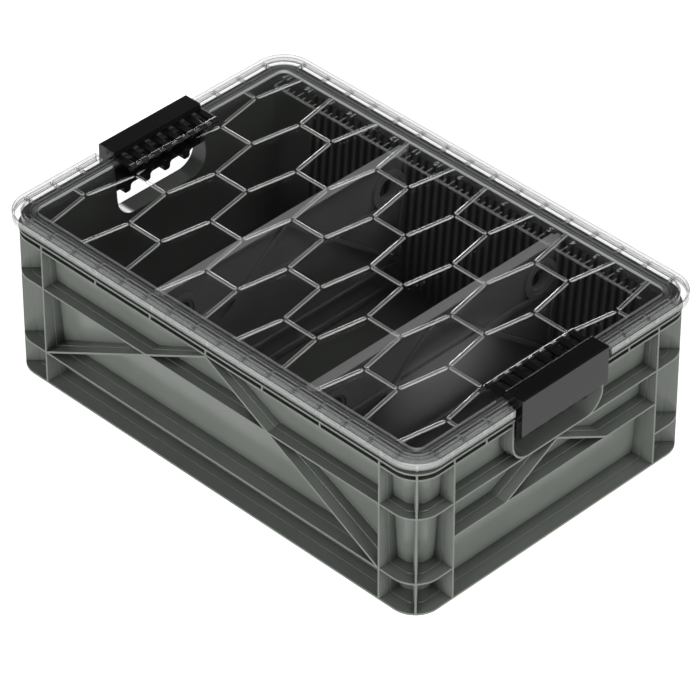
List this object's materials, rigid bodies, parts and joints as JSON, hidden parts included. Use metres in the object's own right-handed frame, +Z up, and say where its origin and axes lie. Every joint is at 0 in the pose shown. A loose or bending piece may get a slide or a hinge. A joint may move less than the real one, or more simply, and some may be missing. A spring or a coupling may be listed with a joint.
{
  "type": "storage crate",
  "caption": "Ribbed plastic storage crate with a clear hexagon-patterned lid, hinged end latches, finger grips in the hand openings and lift-out dividers.",
  "frame": {"origin": "middle of the base, on the surface the crate stands on", "axes": "+Z up, +X along the crate's length, +Y towards the long side that carries the ruler"},
  "size_m": [0.4842, 0.3282, 0.1649],
  "materials": {
    "crate_plastic": "fine-grained moulded polypropylene, grey-green",
    "black_plastic": "satin black moulded plastic",
    "clear_plastic": "clear moulded plastic, milky at its edge",
    "divider_plastic": "fine-grained moulded plastic, dark grey",
    "pin_steel": "drawn wire"
  },
  "bodies": {
    "crate": {"crate_body": "crate_plastic", "handle_grip_left": "black_plastic", "handle_grip_right": "black_plastic"},
    "lid": {"lid_panel": "clear_plastic", "latch_pin_left": "pin_steel", "latch_pin_right": "pin_steel"},
    "latch_left": {"latch_left": "black_plastic"},
    "latch_right": {"latch_right": "black_plastic"},
    "divider_left": {"divider_left": "divider_plastic"},
    "divider_right": {"divider_right": "divider_plastic"}
  },
  "joints": [
    {"name": "lid_lift", "type": "slide", "parent": "crate", "child": "lid", "axis": [0, 0, 1], "range_m": [0, 0.4]},
    {"name": "latch_left_open", "type": "hinge", "parent": "lid", "child": "latch_left", "pos_m": [-0.204, 0, 0.1586], "axis": [0, 1, 0], "range_deg": [0, 105]},
    {"name": "latch_right_open", "type": "hinge", "parent": "lid", "child": "latch_right", "pos_m": [0.204, 0, 0.1586], "axis": [0, -1, 0], "range_deg": [0, 105]},
    {"name": "divider_left_lift", "type": "slide", "parent": "crate", "child": "divider_left", "axis": [0, 0, 1], "range_m": [0, 0.2]},
    {"name": "divider_right_lift", "type": "slide", "parent": "crate", "child": "divider_right", "axis": [0, 0, 1], "range_m": [0, 0.2]}
  ],
  "couplings": [
    {"joint": "divider_left_lift", "follows": "lid_lift", "ratio": 0.5},
    {"joint": "divider_right_lift", "follows": "lid_lift", "ratio": 0.5}
  ]
}
